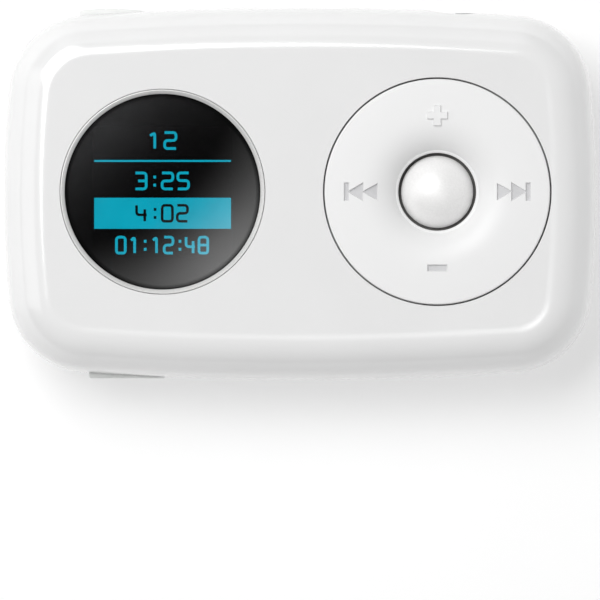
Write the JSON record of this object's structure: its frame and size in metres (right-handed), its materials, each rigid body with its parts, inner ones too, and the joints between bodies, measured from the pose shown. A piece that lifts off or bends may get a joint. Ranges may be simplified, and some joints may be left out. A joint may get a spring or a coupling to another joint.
{
  "type": "digital audio player",
  "caption": "Pocket audio player: rounded white case, round display window, round rocker pad with a domed play button, power slider and menu key",
  "frame": {"origin": "middle of the flat on the rear shell, on which the player lies", "axes": "+X along the player towards the rocker pad, +Y up its face towards the headphone jack, +Z out of its face"},
  "size_m": [0.055, 0.0346, 0.013],
  "materials": {
    "shell_white": "glossy white",
    "pad_white": "satin gloss white",
    "pearl_silver": "pearl silver plating",
    "satin_silver": "satin",
    "key_grey": "satin",
    "smoked_lens": "clear smoked acrylic",
    "display_glass": "black glass",
    "black_foam": "matte",
    "black_plastic": "moulded",
    "natural_plastic": "moulded",
    "amber_film": "polyimide film",
    "silicone": "matte translucent",
    "circuit_board": "solder mask",
    "steel": "plated",
    "gold": "gold plated",
    "foil": "laminated foil",
    "red_wire": "insulated wire",
    "black_wire": "insulated wire"
  },
  "bodies": {
    "case": {"front_shell": "shell_white", "rear_shell": "shell_white", "window_bezel": "satin_silver", "window_lens": "smoked_lens", "display_gasket": "black_foam", "display_panel": "display_glass", "display_frame": "natural_plastic", "display_flex": "amber_film", "display_connector": "natural_plastic", "keypad_board": "circuit_board", "dome_next": "steel", "dome_up": "steel", "dome_previous": "steel", "dome_down": "steel", "dome_play": "steel", "keypad_flex": "amber_film", "keypad_connector": "natural_plastic", "keypad_screw_1": "steel", "keypad_screw_2": "steel", "keypad_screw_3": "steel", "keypad_screw_4": "steel", "main_board": "circuit_board", "board_screw_1": "steel", "board_screw_2": "steel", "board_screw_3": "steel", "board_screw_4": "steel", "main_processor": "black_plastic", "flash_memory": "black_plastic", "radio_tuner": "black_plastic", "crystal": "steel", "power_inductor": "black_plastic", "battery_cell": "foil", "battery_tape": "black_foam", "battery_protection_board": "circuit_board", "battery_lead_positive": "red_wire", "battery_lead_negative": "black_wire", "headphone_jack": "black_plastic", "jack_collar": "steel", "jack_contact_tip": "gold", "jack_contact_ring": "gold", "jack_contact_sleeve": "gold", "usb_shell": "steel", "usb_insulator": "black_plastic", "usb_contact_1": "gold", "usb_contact_2": "gold", "usb_contact_3": "gold", "usb_contact_4": "gold", "usb_contact_5": "gold", "power_switch": "black_plastic", "menu_switch": "black_plastic", "microphone": "steel", "microphone_boot": "black_foam"},
    "slider": {"power_slider": "key_grey", "power_switch_lever": "natural_plastic"},
    "menu": {"menu_key": "key_grey"},
    "play": {"play_button": "pearl_silver"},
    "pad_carrier": {"keymat_ring": "silicone"},
    "pad": {"control_pad": "pad_white"}
  },
  "joints": [
    {"name": "power_slide", "type": "slide", "parent": "case", "child": "slider", "axis": [1, 0, 0], "range_m": [0, 0.0018]},
    {"name": "menu_press", "type": "slide", "parent": "case", "child": "menu", "axis": [0, 1, 0], "range_m": [0, 0.0003], "stiffness_N_per_m": 1500},
    {"name": "play_press", "type": "slide", "parent": "case", "child": "play", "axis": [0, 0, -1], "range_m": [0, 0.00025], "stiffness_N_per_m": 1500},
    {"name": "pad_rock_up_down", "type": "hinge", "parent": "case", "child": "pad_carrier", "pos_m": [0.0127, 0.00015, 0.011], "axis": [1, 0, 0], "range_deg": [-1.5, 1.5], "stiffness_Nm_per_rad": 0.3},
    {"name": "pad_rock_left_right", "type": "hinge", "parent": "pad_carrier", "child": "pad", "pos_m": [0.0127, 0.00015, 0.011], "axis": [0, 1, 0], "range_deg": [-1.5, 1.5], "stiffness_Nm_per_rad": 0.3}
  ]
}
